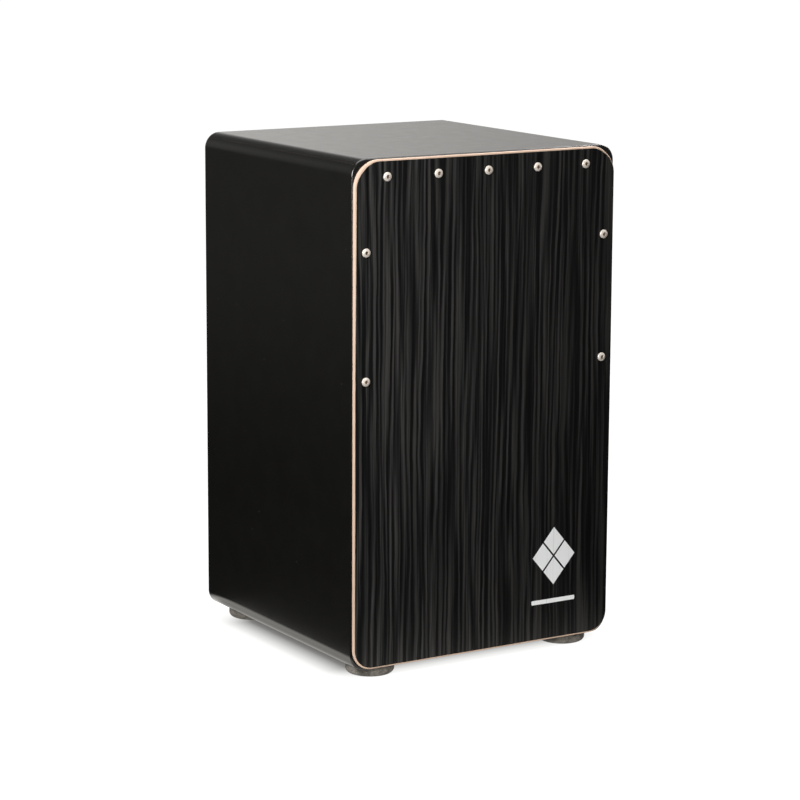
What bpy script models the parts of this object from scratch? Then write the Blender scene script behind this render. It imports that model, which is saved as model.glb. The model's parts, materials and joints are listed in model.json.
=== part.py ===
"""Cajon: a box drum with a thin striped front board, a round sound hole in its
back, four rubber feet, and a snare bar that turns in two saddles inside.

Metres, +Z up. The floor is z = 0, the struck front board faces -Y, and the
origin lies on the floor under the middle of the drum. Left and right are as
seen from the front.
"""
from math import cos, pi, radians, sin, tau

import bmesh
import bpy

MM = 0.001
GAP = 0.3 * MM              # clearance between pieces that touch

# Box
BODY_WIDTH = 300 * MM
BODY_DEPTH = 297 * MM       # face of the front board to the back
BODY_HEIGHT = 495 * MM
EDGE_RADIUS = 16 * MM       # rounding of the four long edges
WALL = 9 * MM
FOOT_HEIGHT = 10 * MM

# Battens inside the box, all square in section
FRONT_BATTEN = 18 * MM
CORNER_BATTEN = 18 * MM
REAR_BATTEN = 15 * MM

# Front board: a light core with a bevelled edge, and a black veneer on it
CORE = 2.6 * MM
VENEER = 0.5 * MM
BOARD_INSET = 1.0 * MM      # outline of the board inside the outline of the box
BOARD_RADII = (27 * MM, 21 * MM)    # upper and lower corners of the front board
BOARD_BEVEL = 1.9 * MM
BOARD_SCREW_TOP = 17.4 * MM     # screw row below the top of the box
BOARD_SCREW_PITCH = 56.8 * MM
BOARD_SCREW_SIDE = 136.5 * MM   # side screws from the middle of the board
BOARD_SCREW_HEIGHTS = (294 * MM, 417 * MM)

# Rear panel
REAR_PANEL = 6 * MM
SOUND_HOLE_RADIUS = 57.5 * MM
SOUND_HOLE_HEIGHT = 325 * MM

# Feet
FOOT_RADIUS = 24 * MM
FOOT_ROUNDING = 4.5 * MM    # of the lower rim
FOOT_X = 113.5 * MM
FOOT_INSET_Y = 29 * MM      # foot centre from the front and from the back
FOOT_RECESS = 4 * MM

# Screws: head radius, head height, shank radius, shank length
BOARD_SCREW = (4.3 * MM, 2.0 * MM, 2.0 * MM, 17 * MM)
FOOT_SCREW = (4.0 * MM, 2.0 * MM, 2.0 * MM, 14 * MM)
SADDLE_SCREW = (3.6 * MM, 2.0 * MM, 1.75 * MM, 20 * MM)
PLATE_SCREW = (3.0 * MM, 1.5 * MM, 1.45 * MM, 9 * MM)
WASHER_RADIUS = 6.0 * MM
WASHER = 1.0 * MM

# Snare unit
BAR_RADIUS = 11 * MM
BAR_LENGTH = 279 * MM
BAR_BEHIND_BOARD = 33.4 * MM    # bar axis behind the back of the front board
BAR_HEIGHT = 365 * MM
BAR_FLAT = 1 * MM               # depth of the flats milled for the plates
BAR_TILT = radians(11)          # wires lean forward to the board
SADDLE = (14 * MM, 29 * MM, 48 * MM)
SADDLE_SCREW_OFFSET = 18 * MM
BORE_CLEARANCE = 0.4 * MM
SNARE_X = 48 * MM               # middle of each set of wires
PLATE_WIDTH = 66 * MM
PLATE_BELOW = 8 * MM
PLATE_ABOVE = 10 * MM
PLATE = 1.2 * MM
PLATE_SCREW_X = 24 * MM
STRANDS = 20
STRAND_PITCH = 3.1 * MM
STRAND = 1.4 * MM
STRAND_TOP = 105 * MM
SOLDER_LOW = 4.5 * MM
SOLDER_HIGH = 9 * MM

# Places worked out from the sizes above
HEAD_PROUD = GAP + BOARD_SCREW[1]
FRONT_Y = (HEAD_PROUD - BODY_DEPTH) / 2
BACK_Y = FRONT_Y + BODY_DEPTH
CORE_FRONT_Y = FRONT_Y + VENEER + GAP
CORE_BACK_Y = CORE_FRONT_Y + CORE
BODY_FRONT_Y = CORE_BACK_Y + GAP
BODY_BOTTOM = FOOT_HEIGHT
BODY_TOP = BODY_BOTTOM + BODY_HEIGHT
BODY_MIDDLE = (BODY_BOTTOM + BODY_TOP) / 2
INNER_X = BODY_WIDTH / 2 - WALL - GAP
INNER_BOTTOM = BODY_BOTTOM + WALL + GAP
INNER_TOP = BODY_TOP - WALL - GAP
PANEL_FRONT_Y = BACK_Y - REAR_PANEL
BAR_Y = CORE_BACK_Y + BAR_BEHIND_BOARD
FOOT_YS = (FRONT_Y + FOOT_INSET_Y, BACK_Y - FOOT_INSET_Y)

ARC_STEPS = 8               # facets in a quarter turn of the box's edges
SMOOTH_ANGLE = radians(40)


def clear_scene():
    for item in list(bpy.data.objects):
        bpy.data.objects.remove(item)


def make_material(name, colour, roughness, metallic=0.0):
    material = bpy.data.materials.new(name)
    material.use_nodes = True
    shader = material.node_tree.nodes["Principled BSDF"]
    shader.inputs["Base Color"].default_value = (*colour, 1.0)
    shader.inputs["Roughness"].default_value = roughness
    shader.inputs["Metallic"].default_value = metallic
    return material


def make_materials():
    return {
        "black_coating": make_material("black_coating", (0.010, 0.010, 0.010), 0.42),
        "black_veneer": make_material("black_veneer", (0.014, 0.013, 0.013), 0.45),
        "light_wood": make_material("light_wood", (0.80, 0.63, 0.45), 0.60),
        "raw_pine": make_material("raw_pine", (0.62, 0.45, 0.27), 0.70),
        "beech": make_material("beech", (0.55, 0.34, 0.20), 0.55),
        "dark_rubber": make_material("dark_rubber", (0.035, 0.037, 0.042), 0.75),
        "bright_steel": make_material("bright_steel", (0.62, 0.62, 0.63), 0.25, 1.0),
        "snare_steel": make_material("snare_steel", (0.55, 0.55, 0.56), 0.30, 1.0),
        "brass": make_material("brass", (0.70, 0.52, 0.22), 0.30, 1.0),
    }


def finish_mesh(bm, name):
    """Turn a bmesh into a mesh with its faces pointing out and round sides smooth."""
    bmesh.ops.recalc_face_normals(bm, faces=bm.faces)
    mesh = bpy.data.meshes.new(name)
    bm.to_mesh(mesh)
    bm.free()
    mesh.shade_smooth()
    mesh.set_sharp_from_angle(angle=SMOOTH_ANGLE)
    return mesh


def add_object(name, mesh, material, location=(0, 0, 0), rotation=(0, 0, 0), parent=None):
    piece = bpy.data.objects.new(name, mesh)
    bpy.context.collection.objects.link(piece)
    piece.location = location
    piece.rotation_euler = rotation
    piece.parent = parent
    if material and not mesh.materials:
        mesh.materials.append(material)
    return piece


def add_cutter(name, mesh, **place):
    """A guide shape that only cuts others."""
    cutter = add_object(name, mesh, None, **place)
    cutter.hide_render = True
    cutter.display_type = "WIRE"
    return cutter


def cut(piece, cutter):
    boolean = piece.modifiers.new(cutter.name, "BOOLEAN")
    boolean.operation = "DIFFERENCE"
    boolean.solver = "EXACT"
    boolean.object = cutter


def box_mesh(name, low, high):
    bm = bmesh.new()
    corners = bmesh.ops.create_cube(bm, size=1)["verts"]
    for corner in corners:
        for axis in range(3):
            corner.co[axis] = high[axis] if corner.co[axis] > 0 else low[axis]
    return finish_mesh(bm, name)


def prism_mesh(name, outline, start, end):
    """Solid with its outline (x, z) in the XZ plane, from y = start to y = end."""
    bm = bmesh.new()
    front = [bm.verts.new((x, start, z)) for x, z in outline]
    face = bm.faces.new(front)
    swept = bmesh.ops.extrude_face_region(bm, geom=[face])["geom"]
    moved = [item for item in swept if isinstance(item, bmesh.types.BMVert)]
    bmesh.ops.translate(bm, verts=moved, vec=(0, end - start, 0))
    return finish_mesh(bm, name)


def turned_mesh(name, profile, steps, ring=False):
    """Solid of revolution about Z through (radius, height) points.

    The profile runs from the top to the bottom of the solid. With ring set, it
    closes on itself round an open middle.
    """
    bm = bmesh.new()
    rings = []
    for radius, height in profile:
        count = steps if radius > 0 else 1
        turns = [tau * step / steps for step in range(count)]
        rings.append([bm.verts.new((radius * cos(t), radius * sin(t), height)) for t in turns])
    pairs = list(zip(rings, rings[1:]))
    if ring:
        pairs.append((rings[-1], rings[0]))
    for upper, lower in pairs:
        for step in range(steps):
            after = (step + 1) % steps
            corners = (
                upper[step % len(upper)],
                lower[step % len(lower)],
                lower[after % len(lower)],
                upper[after % len(upper)],
            )
            bm.faces.new(list(dict.fromkeys(corners)))
    return finish_mesh(bm, name)


def rod_group_mesh(name, radius, rods, steps=12):
    """Straight rods in one mesh, each from one point to another along one axis."""
    bm = bmesh.new()
    for start, end in rods:
        axis = max(range(3), key=lambda i: abs(end[i] - start[i]))
        side, up = (axis + 1) % 3, (axis + 2) % 3
        loops = []
        for point in (start, end):
            loop = []
            for step in range(steps):
                corner = list(point)
                corner[side] += radius * cos(tau * step / steps)
                corner[up] += radius * sin(tau * step / steps)
                loop.append(bm.verts.new(corner))
            bm.faces.new(loop)
            loops.append(loop)
        for step in range(steps):
            after = (step + 1) % steps
            bm.faces.new((loops[0][step], loops[0][after], loops[1][after], loops[1][step]))
    return finish_mesh(bm, name)


def arc(centre, radius, start, end, steps):
    """Points on an arc, angles in radians, both ends included."""
    turns = [start + (end - start) * step / steps for step in range(steps + 1)]
    return [(centre[0] + radius * cos(t), centre[1] + radius * sin(t)) for t in turns]


def rounded_outline(half_width, half_height, upper_radius, lower_radius):
    points = []
    corners = ((1, 1), (-1, 1), (-1, -1), (1, -1))
    for turn, (side, up) in enumerate(corners):
        radius = upper_radius if up > 0 else lower_radius
        centre = (side * (half_width - radius), up * (half_height - radius))
        start = turn * pi / 2
        points += arc(centre, radius, start, start + pi / 2, ARC_STEPS)
    return points


def wall_outline(half_length):
    """Section of one mitred wall, its outer face up, with half of each edge rounding."""
    trim = GAP / 2 / EDGE_RADIUS
    centre_x = half_length - EDGE_RADIUS
    steps = ARC_STEPS // 2
    right = arc((centre_x, -EDGE_RADIUS), EDGE_RADIUS, pi / 4 + trim, pi / 2, steps)
    left = [(-x, z) for x, z in reversed(right)]
    inner = half_length - WALL - GAP * sin(pi / 4)
    return right + left + [(-inner, -WALL), (inner, -WALL)]


def screw_mesh(name, size, steps=12):
    """Round-head screw along Z: the head sits on z = 0 and the shank points down."""
    head, height, shank, length = size
    recess = 0.42 * head
    profile = [
        (0, 0.30 * height),
        (recess, 0.30 * height),
        (recess, height),
        (0.78 * head, 0.80 * height),
        (head, 0.30 * height),
        (head, 0),
        (shank, 0),
        (shank, shank * 1.5 - length),
        (0, -length),
    ]
    return turned_mesh(name, profile, steps)


def build_walls(materials):
    depth = (BODY_FRONT_Y, BACK_Y)
    short = wall_outline(BODY_WIDTH / 2)
    long = wall_outline(BODY_HEIGHT / 2)
    half = BODY_WIDTH / 2
    walls = (
        ("top_panel", short, (0, 0, BODY_TOP), 0),
        ("right_panel", long, (half, 0, BODY_MIDDLE), pi / 2),
        ("bottom_panel", short, (0, 0, BODY_BOTTOM), pi),
        ("left_panel", long, (-half, 0, BODY_MIDDLE), -pi / 2),
    )
    built = {}
    for name, outline, place, turn in walls:
        mesh = prism_mesh(name, outline, *depth)
        coating = materials["black_coating"]
        built[name] = add_object(name, mesh, coating, location=place, rotation=(0, turn, 0))
    return built


def build_frame(prefix, front, thickness, material):
    """Four battens of one rectangular frame against the inside of the walls."""
    back = front + thickness
    upright_top = INNER_TOP - thickness - GAP
    upright_bottom = INNER_BOTTOM + thickness + GAP
    spans = {
        "top": ((-INNER_X, front, INNER_TOP - thickness), (INNER_X, back, INNER_TOP)),
        "bottom": ((-INNER_X, front, INNER_BOTTOM), (INNER_X, back, INNER_BOTTOM + thickness)),
        "left": ((-INNER_X, front, upright_bottom), (thickness - INNER_X, back, upright_top)),
        "right": ((INNER_X - thickness, front, upright_bottom), (INNER_X, back, upright_top)),
    }
    battens = []
    for side, (low, high) in spans.items():
        name = f"{prefix}_batten_{side}"
        battens.append(add_object(name, box_mesh(name, low, high), material))
    return battens


def build_corner_battens(material):
    start = BODY_FRONT_Y + FRONT_BATTEN + GAP
    end = PANEL_FRONT_Y - GAP - REAR_BATTEN - GAP
    for level, low_z in (("top", INNER_TOP - CORNER_BATTEN), ("bottom", INNER_BOTTOM)):
        for side, low_x in (("left", -INNER_X), ("right", INNER_X - CORNER_BATTEN)):
            name = f"corner_batten_{level}_{side}"
            low = (low_x, start, low_z)
            high = (low_x + CORNER_BATTEN, end, low_z + CORNER_BATTEN)
            add_object(name, box_mesh(name, low, high), material)


def build_front_board(materials):
    """Core and veneer; the core's front edge is bevelled all round."""
    half_width = BODY_WIDTH / 2 - BOARD_INSET
    half_height = BODY_HEIGHT / 2 - BOARD_INSET
    outer = rounded_outline(half_width, half_height, *BOARD_RADII)
    inner_radii = [radius - BOARD_BEVEL for radius in BOARD_RADII]
    inner = rounded_outline(half_width - BOARD_BEVEL, half_height - BOARD_BEVEL, *inner_radii)
    bm = bmesh.new()
    levels = (
        (inner, CORE_FRONT_Y),
        (outer, CORE_FRONT_Y + BOARD_BEVEL),
        (outer, CORE_BACK_Y),
    )
    loops = [[bm.verts.new((x, y, z)) for x, z in outline] for outline, y in levels]
    bm.faces.new(loops[0])
    bm.faces.new(loops[-1])
    for near, far in zip(loops, loops[1:]):
        for step in range(len(near)):
            after = (step + 1) % len(near)
            bm.faces.new((near[step], near[after], far[after], far[step]))
    place = (0, 0, BODY_MIDDLE)
    core = add_object("tapa_core", finish_mesh(bm, "tapa_core"), materials["light_wood"], place)
    skin = prism_mesh("tapa_veneer", inner, FRONT_Y, FRONT_Y + VENEER)
    veneer = add_object("tapa_veneer", skin, materials["black_veneer"], place)
    return core, veneer


def board_screw_places():
    """Names and (x, z) places of the screws round the front board."""
    row_z = BODY_TOP - BOARD_SCREW_TOP
    places = [(f"tapa_screw_top_{i + 1}", (i - 2) * BOARD_SCREW_PITCH, row_z) for i in range(5)]
    for side, sign in (("left", -1), ("right", 1)):
        for level, height in zip(("lower", "upper"), BOARD_SCREW_HEIGHTS):
            places.append((f"tapa_screw_{side}_{level}", sign * BOARD_SCREW_SIDE, height))
    return places


def build_board_screws(drilled, material):
    mesh = screw_mesh("tapa_screw", BOARD_SCREW)
    seat = FRONT_Y - GAP
    rods = []
    for name, x, z in board_screw_places():
        add_object(name, mesh, material, location=(x, seat, z), rotation=(pi / 2, 0, 0))
        rods.append(((x, seat - GAP, z), (x, seat + BOARD_SCREW[3] + GAP, z)))
    bores = rod_group_mesh("tapa_screw_bores", BOARD_SCREW[2] + GAP, rods)
    cutter = add_cutter("tapa_screw_bores", bores)
    for piece in drilled:
        cut(piece, cutter)


def build_rear_panel(material):
    low = (-INNER_X, PANEL_FRONT_Y, INNER_BOTTOM)
    high = (INNER_X, BACK_Y, INNER_TOP)
    panel = add_object("rear_panel", box_mesh("rear_panel", low, high), material)
    clear = 2 * REAR_PANEL
    rod = ((0, PANEL_FRONT_Y - clear, SOUND_HOLE_HEIGHT), (0, BACK_Y + clear, SOUND_HOLE_HEIGHT))
    hole = rod_group_mesh("sound_hole_cutter", SOUND_HOLE_RADIUS, [rod], steps=48)
    cut(panel, add_cutter("sound_hole_cutter", hole))


def build_feet(bottom_panel, materials):
    """Rubber feet, each with a washer and a screw sunk in its underside."""
    top = FOOT_HEIGHT - GAP
    hole = FOOT_SCREW[2] + GAP
    recess = WASHER_RADIUS + GAP
    rim = arc((FOOT_RADIUS - FOOT_ROUNDING, FOOT_ROUNDING), FOOT_ROUNDING, 0, -pi / 2, 4)
    foot_profile = [
        (hole, top),
        (FOOT_RADIUS, top),
        *rim,
        (recess, 0),
        (recess, FOOT_RECESS),
        (hole, FOOT_RECESS),
    ]
    foot_mesh = turned_mesh("foot", foot_profile, 24, ring=True)
    washer_top = FOOT_RECESS - GAP
    washer_profile = [
        (hole, washer_top),
        (WASHER_RADIUS, washer_top),
        (WASHER_RADIUS, washer_top - WASHER),
        (hole, washer_top - WASHER),
    ]
    washer_mesh = turned_mesh("foot_washer", washer_profile, 16, ring=True)
    driver_mesh = screw_mesh("foot_screw", FOOT_SCREW)
    seat = washer_top - WASHER - GAP
    rods = []
    for level, y in zip(("front", "rear"), FOOT_YS):
        for side, x in (("left", -FOOT_X), ("right", FOOT_X)):
            tag = f"{level}_{side}"
            place = (x, y, 0)
            add_object(f"foot_{tag}", foot_mesh, materials["dark_rubber"], place)
            add_object(f"foot_washer_{tag}", washer_mesh, materials["bright_steel"], place)
            steel = materials["bright_steel"]
            add_object(f"foot_screw_{tag}", driver_mesh, steel, (x, y, seat), (pi, 0, 0))
            rods.append(((x, y, 0), (x, y, seat + FOOT_SCREW[3] + GAP)))
    bores = rod_group_mesh("foot_screw_bores", hole, rods)
    cut(bottom_panel, add_cutter("foot_screw_bores", bores))


def build_saddles(walls, materials):
    """Two blocks on the side walls, each with a round bore for the bar."""
    width, depth, height = SADDLE
    inside = INNER_X - width
    mesh = screw_mesh("saddle_screw", SADDLE_SCREW)
    bar_rod = ((-BODY_WIDTH, BAR_Y, BAR_HEIGHT), (BODY_WIDTH, BAR_Y, BAR_HEIGHT))
    bore = rod_group_mesh("saddle_bore", BAR_RADIUS + BORE_CLEARANCE, [bar_rod], steps=32)
    bar_bore = add_cutter("saddle_bore", bore)
    for side, sign in (("left", -1), ("right", 1)):
        near, far = sorted((sign * inside, sign * INNER_X))
        low = (near, BAR_Y - depth / 2, BAR_HEIGHT - height / 2)
        high = (far, BAR_Y + depth / 2, BAR_HEIGHT + height / 2)
        name = f"snare_saddle_{side}"
        saddle = add_object(name, box_mesh(name, low, high), materials["beech"])
        cut(saddle, bar_bore)
        rods = []
        for level, offset in (("lower", -SADDLE_SCREW_OFFSET), ("upper", SADDLE_SCREW_OFFSET)):
            z = BAR_HEIGHT + offset
            seat = sign * (inside - GAP)
            turn = (0, -sign * pi / 2, 0)
            steel = materials["bright_steel"]
            screw_name = f"saddle_screw_{side}_{level}"
            add_object(screw_name, mesh, steel, (seat, BAR_Y, z), turn)
            tip = seat + sign * (SADDLE_SCREW[3] + GAP)
            rods.append(((seat - sign * GAP, BAR_Y, z), (tip, BAR_Y, z)))
        bores = rod_group_mesh(f"saddle_screw_bores_{side}", SADDLE_SCREW[2] + GAP, rods)
        cutter = add_cutter(f"saddle_screw_bores_{side}", bores)
        cut(saddle, cutter)
        cut(walls[f"{side}_panel"], cutter)


def wires_outline():
    """A comb in the XZ plane: the solder strip with the strands standing on it."""
    half = (STRANDS - 1) * STRAND_PITCH / 2 + STRAND / 2
    points = [(half, SOLDER_LOW)]
    for strand in range(STRANDS):
        x = half - STRAND / 2 - strand * STRAND_PITCH
        right, left = x + STRAND / 2, x - STRAND / 2
        if strand:
            points.append((right, SOLDER_HIGH))
        points.append((right, STRAND_TOP))
        points.append((left, STRAND_TOP))
        if strand < STRANDS - 1:
            points.append((left, SOLDER_HIGH))
    points.append((-half, SOLDER_LOW))
    return points


def build_snare_bar(materials):
    """Everything that turns with the bar, in a frame whose X axis is the bar's axis."""
    hinge = bpy.data.objects.new("snare_bar_axis", None)
    bpy.context.collection.objects.link(hinge)
    hinge.location = (0, BAR_Y, BAR_HEIGHT)
    hinge.rotation_euler = (BAR_TILT, 0, 0)

    half = BAR_LENGTH / 2
    rod = rod_group_mesh("snare_bar", BAR_RADIUS, [((-half, 0, 0), (half, 0, 0))], steps=32)
    bar = add_object("snare_bar", rod, materials["beech"], parent=hinge)

    flat_y = BAR_FLAT - BAR_RADIUS
    plate_back = flat_y - GAP
    plate_front = plate_back - PLATE
    seat = plate_front - GAP
    plate_screw = screw_mesh("snare_plate_screw", PLATE_SCREW)
    wires = prism_mesh("snare_wires", wires_outline(), seat, seat - STRAND)
    for side, sign in (("left", -1), ("right", 1)):
        x = sign * SNARE_X
        edge = PLATE_WIDTH / 2
        flat_low = (x - edge - GAP, -2 * BAR_RADIUS, -BAR_RADIUS)
        flat_high = (x + edge + GAP, flat_y, BAR_RADIUS)
        flat = box_mesh(f"bar_flat_{side}", flat_low, flat_high)
        cut(bar, add_cutter(f"bar_flat_{side}", flat, parent=hinge))

        low = (x - edge, plate_front, -PLATE_BELOW)
        high = (x + edge, plate_back, PLATE_ABOVE)
        name = f"snare_plate_{side}"
        plate = add_object(name, box_mesh(name, low, high), materials["brass"], parent=hinge)
        steel = materials["snare_steel"]
        add_object(f"snare_wires_{side}", wires, steel, location=(x, 0, 0), parent=hinge)

        rods = []
        for order, offset in (("outer", sign * PLATE_SCREW_X), ("inner", -sign * PLATE_SCREW_X)):
            place = (x + offset, seat, 0)
            add_object(
                f"plate_screw_{side}_{order}", plate_screw, materials["bright_steel"],
                location=place, rotation=(pi / 2, 0, 0), parent=hinge,
            )
            tip = (place[0], seat + PLATE_SCREW[3] + GAP, 0)
            rods.append(((place[0], seat - GAP, 0), tip))
        bores = rod_group_mesh(f"plate_screw_bores_{side}", PLATE_SCREW[2] + GAP, rods)
        cutter = add_cutter(f"plate_screw_bores_{side}", bores, parent=hinge)
        cut(plate, cutter)
        cut(bar, cutter)


def main():
    clear_scene()
    materials = make_materials()
    walls = build_walls(materials)
    front_frame = build_frame("front", BODY_FRONT_Y, FRONT_BATTEN, materials["raw_pine"])
    rear_start = PANEL_FRONT_Y - GAP - REAR_BATTEN
    build_frame("rear", rear_start, REAR_BATTEN, materials["raw_pine"])
    build_corner_battens(materials["raw_pine"])
    board = build_front_board(materials)
    build_board_screws([*board, *front_frame], materials["bright_steel"])
    build_rear_panel(materials["black_coating"])
    build_feet(walls["bottom_panel"], materials)
    build_saddles(walls, materials)
    build_snare_bar(materials)


main()
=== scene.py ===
"""Looks of the cajon: its finished surfaces, fasteners and snare wires, built
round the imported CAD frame, and the studio that it stands in.

Metres, +Z up, the struck front board faces -Y.
"""
import json
from math import cos, pi, radians, sin, sqrt, tau

import bmesh
import bpy
from mathutils import Matrix, Vector, noise


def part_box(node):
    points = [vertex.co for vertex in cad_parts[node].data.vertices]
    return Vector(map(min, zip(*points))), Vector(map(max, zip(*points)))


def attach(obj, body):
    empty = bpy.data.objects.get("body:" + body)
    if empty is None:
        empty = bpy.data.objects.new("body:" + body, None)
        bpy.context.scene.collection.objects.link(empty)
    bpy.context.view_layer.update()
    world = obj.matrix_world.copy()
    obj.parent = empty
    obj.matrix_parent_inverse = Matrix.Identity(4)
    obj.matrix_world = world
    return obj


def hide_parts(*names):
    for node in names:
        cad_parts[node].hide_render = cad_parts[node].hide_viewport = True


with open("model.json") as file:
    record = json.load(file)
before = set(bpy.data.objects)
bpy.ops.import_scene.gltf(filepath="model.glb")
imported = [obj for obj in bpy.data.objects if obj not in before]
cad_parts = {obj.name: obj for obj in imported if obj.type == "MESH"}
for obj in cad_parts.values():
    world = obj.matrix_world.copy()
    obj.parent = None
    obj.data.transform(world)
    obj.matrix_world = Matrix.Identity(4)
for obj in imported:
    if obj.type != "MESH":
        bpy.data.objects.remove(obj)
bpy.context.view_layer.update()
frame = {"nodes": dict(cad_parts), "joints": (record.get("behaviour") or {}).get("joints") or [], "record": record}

MM = 0.001

# Sizes that the frame doesn't state
EDGE_RADIUS = 16 * MM           # rounding of the box's long edges
BOARD_RADII = (27 * MM, 21 * MM)    # upper and lower corners of the front board
FRONT_EASE = 2.0 * MM           # softened front and rear edges of the box
REAR_EASE = 1.2 * MM
HAIRLINE = 0.01 * MM            # gap between neighbouring pieces
BOARD_THICKNESS = 3.4 * MM
VENEER = 0.5 * MM
VENEER_EDGE = 0.25 * MM         # slant of the veneer's sanded edge
SOUND_HOLE_RADIUS = 57.5 * MM
BAR_TILT = radians(11)          # lean of the snare wires at rest
BAR_FLAT = 1 * MM               # depth of the flats milled on the bar
STRANDS = 20
STRAND_PITCH = 3.1 * MM
EMBLEM_X = 83 * MM
EMBLEM_Z = 97 * MM
CORNERS = ("front_left", "front_right", "rear_left", "rear_right")

BODY_LOW = Vector((
    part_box("left_panel")[0].x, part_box("top_panel")[0].y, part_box("bottom_panel")[0].z,
))
BODY_HIGH = Vector((
    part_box("right_panel")[1].x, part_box("top_panel")[1].y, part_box("top_panel")[1].z,
))
FRONT_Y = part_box("tapa_veneer")[0].y
MIDDLE_Z = (BODY_LOW.z + BODY_HIGH.z) / 2

# The photograph's viewpoint
CAMERA_PLACE = Vector((-1486.1, -2396.4, 788.4)) * MM
CAMERA_AZIMUTH = radians(-31.679)
CAMERA_ELEVATION = radians(11.035)
CAMERA_ROLL = radians(-0.295)
CAMERA_LENS = 127.08            # mm, on a sensor 36 mm wide

SOFTBOXES = (
    # name, place, point aimed at, width and height, watts
    ("key_softbox", (-1.00, -0.72, 0.66), (0, 0, 0.30), (0.5, 0.5), 20),
    ("overhead_softbox", (0.2, 0.3, 2.6), (0, 0, 0), (2.6, 2.6), 95),
    ("fill_softbox", (1.70, 0.90, 1.50), (0, 0, 0.30), (0.9, 0.9), 40),
)


# ---------------------------------------------------------------- node helpers

def add_node(tree, kind, inputs=None, **settings):
    """A shader node; inputs maps socket names or numbers to values or to other sockets."""
    made = tree.nodes.new(kind)
    for key, value in settings.items():
        setattr(made, key, value)
    for key, value in (inputs or {}).items():
        if isinstance(value, bpy.types.NodeSocket):
            tree.links.new(value, made.inputs[key])
        else:
            made.inputs[key].default_value = value
    return made


def ramp(tree, factor, stops):
    """Colour ramp through (position, colour) stops."""
    made = add_node(tree, "ShaderNodeValToRGB", {"Fac": factor})
    elements = made.color_ramp.elements
    while len(elements) < len(stops):
        elements.new(0.5)
    for element, (position, colour) in zip(elements, stops):
        element.position = position
        element.color = (*colour, 1)
    return made.outputs["Color"]


def maths(tree, operation, *values):
    inputs = dict(enumerate(values))
    return add_node(tree, "ShaderNodeMath", inputs, operation=operation).outputs[0]


def remap(tree, value, low, high, to_low, to_high):
    inputs = {
        "Value": value, "From Min": low, "From Max": high,
        "To Min": to_low, "To Max": to_high,
    }
    return add_node(tree, "ShaderNodeMapRange", inputs).outputs["Result"]


def object_axes(tree):
    """X, Y and Z of the object coordinates."""
    place = add_node(tree, "ShaderNodeTexCoord").outputs["Object"]
    return tuple(add_node(tree, "ShaderNodeSeparateXYZ", {"Vector": place}).outputs)


def flat_length(tree, x, y):
    """Length of a vector without height."""
    flat = add_node(tree, "ShaderNodeCombineXYZ", {"X": x, "Y": y}).outputs["Vector"]
    return add_node(tree, "ShaderNodeVectorMath", {0: flat}, operation="LENGTH").outputs["Value"]


def stretched(tree, scale):
    """Object coordinates times a scale on each axis."""
    source = add_node(tree, "ShaderNodeTexCoord").outputs["Object"]
    inputs = {"Vector": source, "Scale": scale}
    return add_node(tree, "ShaderNodeMapping", inputs).outputs["Vector"]


def noise_of(tree, vector, scale=1.0, detail=2.0, roughness=0.5, distortion=0.0):
    inputs = {
        "Vector": vector, "Scale": scale, "Detail": detail,
        "Roughness": roughness, "Distortion": distortion,
    }
    return add_node(tree, "ShaderNodeTexNoise", inputs).outputs["Fac"]


def mix_colours(tree, factor, first, second, blend_type="MIX"):
    made = tree.nodes.new("ShaderNodeMix")
    made.data_type = "RGBA"
    made.blend_type = blend_type
    for key, value in {"Factor": factor, "A": first, "B": second}.items():
        socket = next(s for s in made.inputs if s.name == key and s.enabled)
        if isinstance(value, bpy.types.NodeSocket):
            tree.links.new(value, socket)
        else:
            socket.default_value = value
    return next(s for s in made.outputs if s.enabled)


def tinted(tree, colour, tint):
    return mix_colours(tree, 1.0, colour, tint, "MULTIPLY")


def grey(level):
    return (level, level, level)


def new_material(name, **constants):
    """Material with a Principled shader; constants are values of its own sockets."""
    material = bpy.data.materials.new(name)
    material.use_nodes = True
    shader = material.node_tree.nodes["Principled BSDF"]
    for key, value in constants.items():
        shader.inputs[key.replace("_", " ")].default_value = value
    return material, material.node_tree, shader


def finish_surface(tree, shader, colour, pattern, roughness, bumps):
    """Link the base colour, a range of roughness that follows a pattern, and stacked bumps.

    A bump is a height, a strength and a distance in metres.
    """
    tree.links.new(colour, shader.inputs["Base Color"])
    tree.links.new(remap(tree, pattern, 0.3, 0.7, *roughness), shader.inputs["Roughness"])
    normal = None
    for height, strength, distance in bumps:
        inputs = {"Height": height, "Strength": strength, "Distance": distance}
        if normal is not None:
            inputs["Normal"] = normal
        normal = add_node(tree, "ShaderNodeBump", inputs).outputs["Normal"]
    tree.links.new(normal, shader.inputs["Normal"])


# ------------------------------------------------------------------- materials

def coating_material():
    """Black soft-touch coating: fine grain, faint clouds and a few specks of dust."""
    material, tree, shader = new_material("black_coating", Specular_IOR_Level=0.5)
    place = stretched(tree, (1, 1, 1))
    clouds = noise_of(tree, place, 34, 5, 0.6)
    base = ramp(tree, clouds, [
        (0.30, (0.0033, 0.0032, 0.0028)),
        (0.72, (0.0045, 0.0044, 0.0038)),
    ])
    dust_colour = (0.045, 0.043, 0.040, 1)
    cells = add_node(tree, "ShaderNodeTexVoronoi", {"Vector": place, "Scale": 85.0})
    near = remap(tree, cells.outputs["Distance"], 0.03, 0.06, 1.0, 0.0)
    rare = maths(tree, "GREATER_THAN", noise_of(tree, place, 31, 0), 0.63)
    coloured = mix_colours(tree, maths(tree, "MULTIPLY", near, rare), base, dust_colour)
    patches = noise_of(tree, place, 75, 4)
    peel = noise_of(tree, place, 420, 2)
    grain = noise_of(tree, place, 2600, 1)
    finish_surface(tree, shader, coloured, patches, (0.205, 0.225), [
        (peel, 0.03, 0.05 * MM),
        (grain, 0.12, 0.03 * MM),
    ])
    return material


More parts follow.
